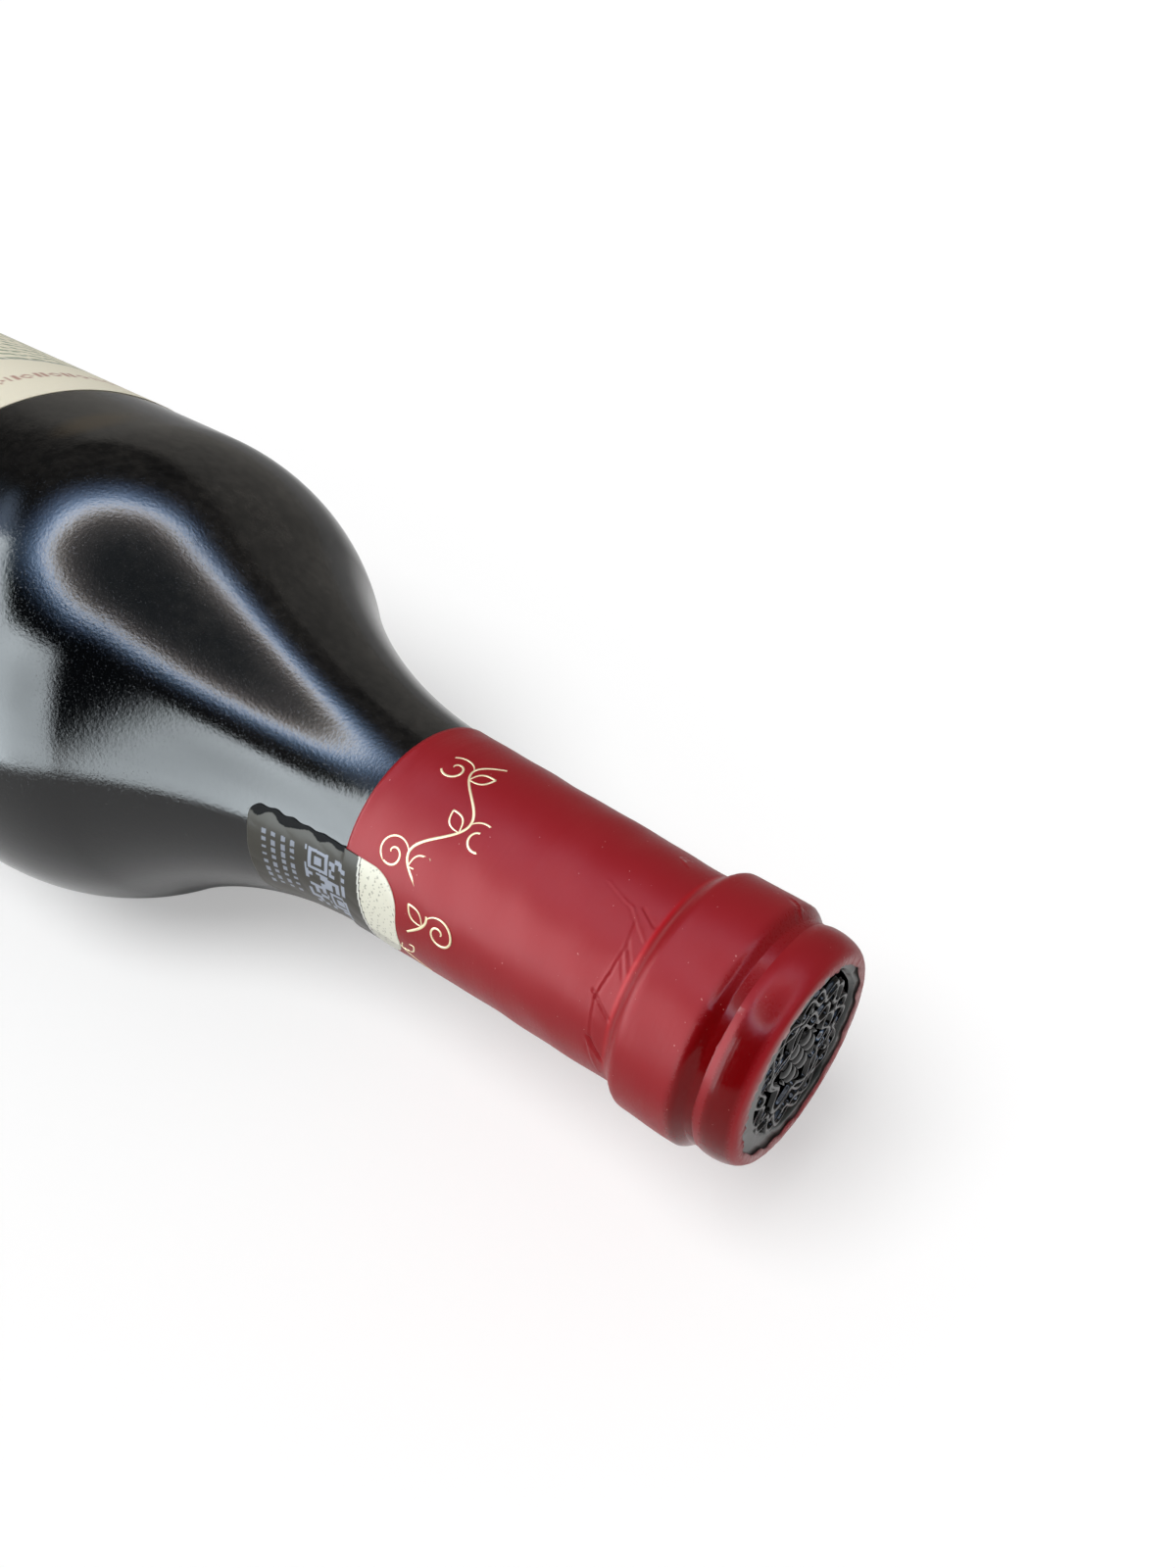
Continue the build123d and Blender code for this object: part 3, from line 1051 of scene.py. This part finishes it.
# The label: a grid from its upper edge down and between its two bearings, finer in its upper part
def makeLabel():
    count = label["rowsInEach"]
    fineEnd = labelStart + label["fineLength"]
    upper = np.linspace(labelStart, fineEnd, count, endpoint=False)
    lower = np.linspace(fineEnd, labelEnd, count)
    distance = np.concatenate([upper, lower])[:, None]
    ends = np.radians([label["from"], label["to"]])
    turn = np.linspace(*ends, label["columns"])
    bearing = turn[None, :] + 0 * distance
    inner = bodyRadius + 0 * bearing
    outer = inner + label["wall"]
    along = (distance - labelStart) * 1000 + 0 * bearing
    across = (bearing - bearing[0, 0]) * bodyRadius * 1000
    inks = labelPrint(along, across)
    piece = makePatch(
        "frontLabel", distance, bearing, outer, inner, makePaperMaterial(), inks
    )
    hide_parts("front_label")


# Gold tendril on the capsule
tendril = {
    "middle": 0.0465,
    "from": 74.0,
    "to": 206.0,
    "swing": 0.0026,
    "turns": 2.6,
    "width": 0.00042,
    "lift": 0.00006,
    "curlRadius": 0.0021,
    "radius": 0.0146,
    "points": 260,
    "curlWidth": 0.00034,
    "leafWidth": 0.00028,
    "leafLength": 0.0032,
    "leafPoints": 24,
    "metallic": 0.25,
    "tones": [(0.80, 0.66, 0.38, 1), (0.92, 0.82, 0.56, 1)],
    "roughness": 0.32,
}


# Pale gold foil between two tones
def makeGoldMaterial():
    tree = Tree("paleGold")
    tone = tree.mix(tree.noise(1800, 2, 0.5), *tendril["tones"])
    return tree.surface({
        "Base Color": tone,
        "Roughness": tendril["roughness"],
        "Metallic": tendril["metallic"],
    })


# A stroke as a thin ribbon along a path of (distance, arc) points, tapered towards its ends
def strokeRibbon(path, width):
    share = np.linspace(0, 1, len(path))
    heading = np.gradient(path, axis=0)
    heading = heading / np.maximum(np.hypot(*heading.T), 1e-9)[:, None]
    side = np.stack([-heading[:, 1], heading[:, 0]], axis=1)
    half = width / 2 * (0.45 + 0.55 * np.sin(np.pi * share) ** 0.6)
    places = np.array([-1, -0.8, 0.8, 1])
    centres = path[:, None, :] + side[:, None, :] * (half[:, None] * places)[..., None]
    ground = glassRadius(centres[..., 0]) + shape["filmWall"]
    rise = tendril["lift"] * np.array([-0.8, 1, 1, -0.8])
    points = aroundBottle(centres[..., 0], centres[..., 1] / tendril["radius"], ground + rise)
    faces = gridFaces(len(path), len(places))
    under = np.stack([
        np.arange(len(path) - 1) * 4, np.arange(1, len(path)) * 4,
        np.arange(1, len(path)) * 4 + 3, np.arange(len(path) - 1) * 4 + 3,
    ], axis=1)
    ends = np.array([[0, 1, 2, 3], np.array([3, 2, 1, 0]) + (len(path) - 1) * 4])
    return points.reshape(-1, 3), np.concatenate([faces, under, ends])


# Curl that leaves a point and winds inwards: radius shrinks as its angle grows
def curlPath(start, heading, size, sense, turns=1.4):
    angle = np.linspace(0, 2 * np.pi * turns, 60)
    reach = size * (1 - angle / angle[-1]) ** 0.8 + 0.12 * size
    centre = np.array(start) + size * 1.12 * np.array([math.cos(heading), math.sin(heading)])
    swept = heading + np.pi + sense * angle
    return centre + reach[:, None] * np.stack([np.cos(swept), np.sin(swept)], axis=1)


# A pointed leaf outline: two bowed sides between its foot and its tip
def leafPath(start, heading, length):
    outward = np.linspace(0, 1, tendril["leafPoints"])
    back = np.linspace(1, 0, tendril["leafPoints"])
    share = np.concatenate([outward, back])
    bow = np.concatenate([np.sin(np.pi * outward), -np.sin(np.pi * back)]) * 0.26 * length
    forward = share * length
    x = forward * math.cos(heading) - bow * math.sin(heading)
    y = forward * math.sin(heading) + bow * math.cos(heading)
    return np.array(start) + np.stack([x, y], axis=1)


# A vine tendril in pale gold on the capsule: a waving stem with a curl and a leaf at each bend
def makeTendril():
    count = tendril["points"]
    bearings = np.radians(np.linspace(tendril["from"], tendril["to"], count))
    phase = 2 * np.pi * tendril["turns"] * np.linspace(0, 1, count)
    waving = tendril["middle"] + tendril["swing"] * np.sin(phase)
    stem = np.stack([waving, bearings * tendril["radius"]], axis=1)
    strokes = [(stem, tendril["width"])]
    bends = np.arange(0.25, tendril["turns"], 0.5) / tendril["turns"]
    for index, bend in enumerate(bends):
        outward, sense = (0.0, 1) if index % 2 == 0 else (np.pi, -1)
        start = stem[int(bend * (count - 1))]
        curl = curlPath(start, outward + 0.5 * sense, tendril["curlRadius"], sense)
        strokes.append((curl, tendril["curlWidth"]))
        leafStart = stem[int(min(bend + 0.045, 1) * (count - 1))]
        leaf = leafPath(leafStart, outward + np.pi + 0.7 * sense, tendril["leafLength"])
        strokes.append((leaf, tendril["leafWidth"]))
    parts = [strokeRibbon(path, width) for path, width in strokes]
    offsets = np.cumsum([0] + [len(points) for points, faces in parts])
    allPoints = np.concatenate([points for points, faces in parts])
    allFaces = [faces + offset for (points, faces), offset in zip(parts, offsets)]
    faces = np.concatenate(allFaces).tolist()
    makePiece("goldTendril", allPoints, faces, makeGoldMaterial())
    print("tendril", len(faces))


makeGlass()
makeCapsule()
makeDisc()
makeSeal()
makeLabel()
makeTendril()


# Camera
view = {
    "camera": (0.18345, -0.07943, 0.15087),
    "aim": (0.08973, 0.03674, 0.01775),
    "lens": 38.44,
    "sensor": 36.0,
}

# Sun, surroundings and floor
light = {
    "ambient": 0.40,
    "sunHeading": (0.07, 0.50, -1.0),
    "sunStrength": 2.02,
    "sunSpread": 33.0,
    "room": (0.27, 0.26, 0.24),
    "dark": (0.004, 0.004, 0.005),
    "floorColour": 0.90,
    "floorFarShade": 0.30,
    "floorSeen": 0.68,
    "floorLift": 0.36,
    "floorSize": 4.0,
    "floorDims": (0.05, 0.22),
    "roomFrom": -0.25,
    "roomTo": 0.45,
}


# A new object at the origin, linked to the scene
def linkObject(name, data):
    item = bpy.data.objects.new(name, data)
    bpy.context.scene.collection.objects.link(item)
    return item


# A four-cornered sheet with a material, for the floor and the cards
def makeSheet(name, corners, material):
    mesh = bpy.data.meshes.new(name)
    mesh.from_pydata(corners, [], [(0, 1, 2, 3)])
    mesh.materials.append(material)
    sheet = linkObject(name, mesh)
    return sheet


# A white surface, lifted to full white where the camera looks straight at it, and in reflections darker
# on the far side of the bottle, a painted shade there
def makeFloor():
    tree = Tree("whiteTable")
    path = tree.add("ShaderNodeLightPath").outputs
    plain = light["floorColour"]
    # Painted shade: in reflections the floor's colour darkens on the far side of the bottle
    dim = tree.ramp(tree.along("Y"), *light["floorDims"], plain, light["floorFarShade"])
    mirrored = tree.mix(path["Is Glossy Ray"], (plain, plain, plain, 1), dim)
    seen = light["floorSeen"]
    tree.surface({
        "Base Color": tree.mix(path["Is Camera Ray"], mirrored, (seen, seen, seen, 1)),
        "Roughness": 0.9,
        "Specular IOR Level": 0.0,
        "Emission Color": (1, 1, 1, 1),
        "Emission Strength": tree.times(path["Is Camera Ray"], light["floorLift"]),
    })
    size = light["floorSize"]
    corners = [(-size, -size, 0), (size, -size, 0), (size, size, 0), (-size, size, 0)]
    makeSheet("floor", corners, tree.material)


# Card that only shows in reflections, clear where its cover is 0
def makeCard(name, corners, tree, strength, colour, cover=1.0):
    glow = tree.add("ShaderNodeEmission", {}, {"Color": colour, "Strength": strength})
    clear = tree.add("ShaderNodeBsdfTransparent")
    blend = tree.add("ShaderNodeMixShader", {}, {0: cover, 1: clear.outputs[0], 2: glow.outputs[0]})
    tree.links.new(blend.outputs[0], tree.output.inputs["Surface"])
    card = makeSheet(name, corners, tree.material)
    card.visible_camera = False
    card.visible_diffuse = False
    card.visible_shadow = False
    card.visible_transmission = False


# Overhead ring and window, seen only in reflections
ringCard = {
    "height": 1.0,
    "centre": (0.40, -0.075),
    "half": (0.70, 0.50),
    "reach": 1.5,
    "strength": 15.0,
    "windowPlace": (-0.80, -0.33, 1.0),
    "windowTurn": -0.60,
    "windowSize": (0.62, 0.20, 1),
    "windowStrength": 0.14,
    "left": -1.8,
    "near": -1.3,
    "far": 1.0,
    "right": 1.5,
    "stops": [
        (0.0, (0.006, 0.008, 0.010)),
        (0.30, (0.012, 0.014, 0.016)),
        (0.50, (0.055, 0.052, 0.052)),
        (0.61, (0.24, 0.215, 0.205)),
        (0.655, (1.0, 1.0, 1.0)),
        (0.685, (0.52, 0.68, 0.95)),
        (0.74, (0.16, 0.24, 0.38)),
        (0.86, (0.030, 0.046, 0.080)),
        (1.0, (0.0, 0.0, 0.0)),
    ],
    "wobble": 0.025,
    "wobbleScale": 3.2,
    "windowColour": (0.55, 0.72, 1.0, 1),
}


# Overhead ring of light: brightness by distance from the ring's ellipse, bluish outside it and
# brownish inside, with a soft bluish patch beyond its left end
def makeRingCard():
    tree = Tree("ringLight")
    height = ringCard["height"]
    away = tree.awayFrom((*ringCard["centre"], height), (*ringCard["half"], 1))
    swing = ringCard["wobble"]
    wobble = tree.ramp(tree.noise(ringCard["wobbleScale"], 2, 0.5), 0.3, 0.7, -swing, swing)
    away = tree.math("ADD", away, wobble)
    ramp = tree.add("ShaderNodeValToRGB", {}, {"Fac": tree.ramp(away, 0, ringCard["reach"])})
    elements = ramp.color_ramp.elements
    for index, (place, colour) in enumerate(ringCard["stops"]):
        stop = elements[index] if index < 2 else elements.new(place)
        stop.position = place
        stop.color = (*colour, 1)
    beyond = tree.awayFrom(ringCard["windowPlace"], ringCard["windowSize"], ringCard["windowTurn"])
    window = tree.ramp(beyond, 1.0, 0.2, 0.0, ringCard["windowStrength"])
    patch = tree.mix(window, (0, 0, 0, 1), ringCard["windowColour"])
    glow = tree.add("ShaderNodeVectorMath", {"operation": "ADD"}, {0: ramp.outputs[0], 1: patch})
    left, right, near, far = (ringCard[side] for side in ("left", "right", "near", "far"))
    plan = [(left, near), (left, far), (right, far), (right, near)]
    corners = [(*corner, height) for corner in plan]
    makeCard("ringCard", corners, tree, ringCard["strength"], glow.outputs[0])


# Pale board, seen only in reflections
sideCard = {
    "y": -0.192,
    "foot": 0.004,
    "top": 0.215,
    "slant": -0.16,
    "rise": -0.95,
    "tallest": 0.50,
    "left": -0.60,
    "right": 0.108,
    "soft": 0.010,
    "strength": 9.5,
    "colour": (0.86, 0.95, 1.0, 1),
    "rightSoft": 0.012,
    "dimFrom": 0.035,
    "dimTo": 0.055,
    "dimmed": 0.85,
    "cloudScale": 18,
    "clouds": (0.85, 1.1),
}


# Pale board that stands beside the bottle, with a slanting upper edge and a dimmer right part
def makeSideCard():
    tree = Tree("sideBoard")
    x = tree.along("X")
    z = tree.along("Z")
    edge = tree.math("ADD", tree.times(x, sideCard["slant"]), sideCard["top"])
    edge = tree.math("ADD", edge, tree.times(tree.math("MINIMUM", x, 0), sideCard["rise"]))
    under = tree.math("SUBTRACT", edge, z)
    upper = tree.ramp(under, 0, sideCard["soft"])
    shownRight = tree.ramp(x, sideCard["right"], sideCard["right"] - sideCard["rightSoft"])
    dim = tree.ramp(x, sideCard["dimFrom"], sideCard["dimTo"], 1.0, sideCard["dimmed"])
    cloudy = tree.ramp(tree.noise(sideCard["cloudScale"], 3, 0.5), 0.3, 0.7, *sideCard["clouds"])
    cover = tree.times(upper, shownRight)
    strength = tree.times(tree.times(dim, cloudy), sideCard["strength"])
    left, right, y, foot, top = (
        sideCard[side] for side in ("left", "right", "y", "foot", "tallest")
    )
    corners = [(right, y, foot), (left, y, foot), (left, y, top), (right, y, top)]
    makeCard("sideCard", corners, tree, strength, sideCard["colour"], cover)


# One soft sun from above that doesn't show in reflections
def makeSun():
    data = bpy.data.lights.new("softSun", "SUN")
    data.energy = light["sunStrength"]
    data.angle = math.radians(light["sunSpread"])
    sun = linkObject("softSun", data)
    sun.rotation_euler = Vector(light["sunHeading"]).to_track_quat("-Z", "Y").to_euler()
    sun.visible_glossy = False


# A camera at its place, turned to face the aim
def makeCamera():
    data = bpy.data.cameras.new("camera")
    data.sensor_fit = "HORIZONTAL"
    data.sensor_width = view["sensor"]
    data.lens = view["lens"]
    data.clip_start = 0.01
    camera = linkObject("camera", data)
    camera.location = view["camera"]
    direction = Vector(view["aim"]) - Vector(view["camera"])
    camera.rotation_euler = direction.to_track_quat("-Z", "Y").to_euler()
    bpy.context.scene.camera = camera


# Surroundings: white to the camera, plain grey light on the object, and in reflections a dim room
# on the +Y side that turns dark towards -Y. A mix node's sockets 6 and 7 are its two colours, and its
# output 2 is the blend.
def makeWorld():
    world = bpy.data.worlds.new("surroundings")
    world.use_nodes = True
    nodes = world.node_tree.nodes
    links = world.node_tree.links
    background = nodes["Background"]
    path = nodes.new("ShaderNodeLightPath")
    byCamera = nodes.new("ShaderNodeMix")
    byGloss = nodes.new("ShaderNodeMix")
    for node in (byCamera, byGloss):
        node.data_type = "RGBA"
    grey = light["ambient"]
    byGloss.inputs[6].default_value = (grey, grey, grey, 1)
    sides = nodes.new("ShaderNodeMix")
    sides.data_type = "RGBA"
    sides.inputs[6].default_value = (*light["dark"], 1)
    sides.inputs[7].default_value = (*light["room"], 1)
    heading = nodes.new("ShaderNodeSeparateXYZ")
    share = nodes.new("ShaderNodeMapRange")
    share.inputs["From Min"].default_value = light["roomFrom"]
    share.inputs["From Max"].default_value = light["roomTo"]
    links.new(nodes.new("ShaderNodeTexCoord").outputs["Generated"], heading.inputs[0])
    links.new(heading.outputs["Y"], share.inputs["Value"])
    links.new(share.outputs[0], sides.inputs[0])
    links.new(sides.outputs[2], byGloss.inputs[7])
    byCamera.inputs[7].default_value = (1, 1, 1, 1)
    links.new(path.outputs["Is Glossy Ray"], byGloss.inputs[0])
    links.new(path.outputs["Is Camera Ray"], byCamera.inputs[0])
    links.new(byGloss.outputs[2], byCamera.inputs[6])
    links.new(byCamera.outputs[2], background.inputs["Color"])
    bpy.context.scene.world = world


makeFloor()
makeRingCard()
makeSideCard()
makeSun()
makeCamera()
makeWorld()
bpy.context.scene.view_settings.view_transform = "Standard"
print("floor, lights and camera")
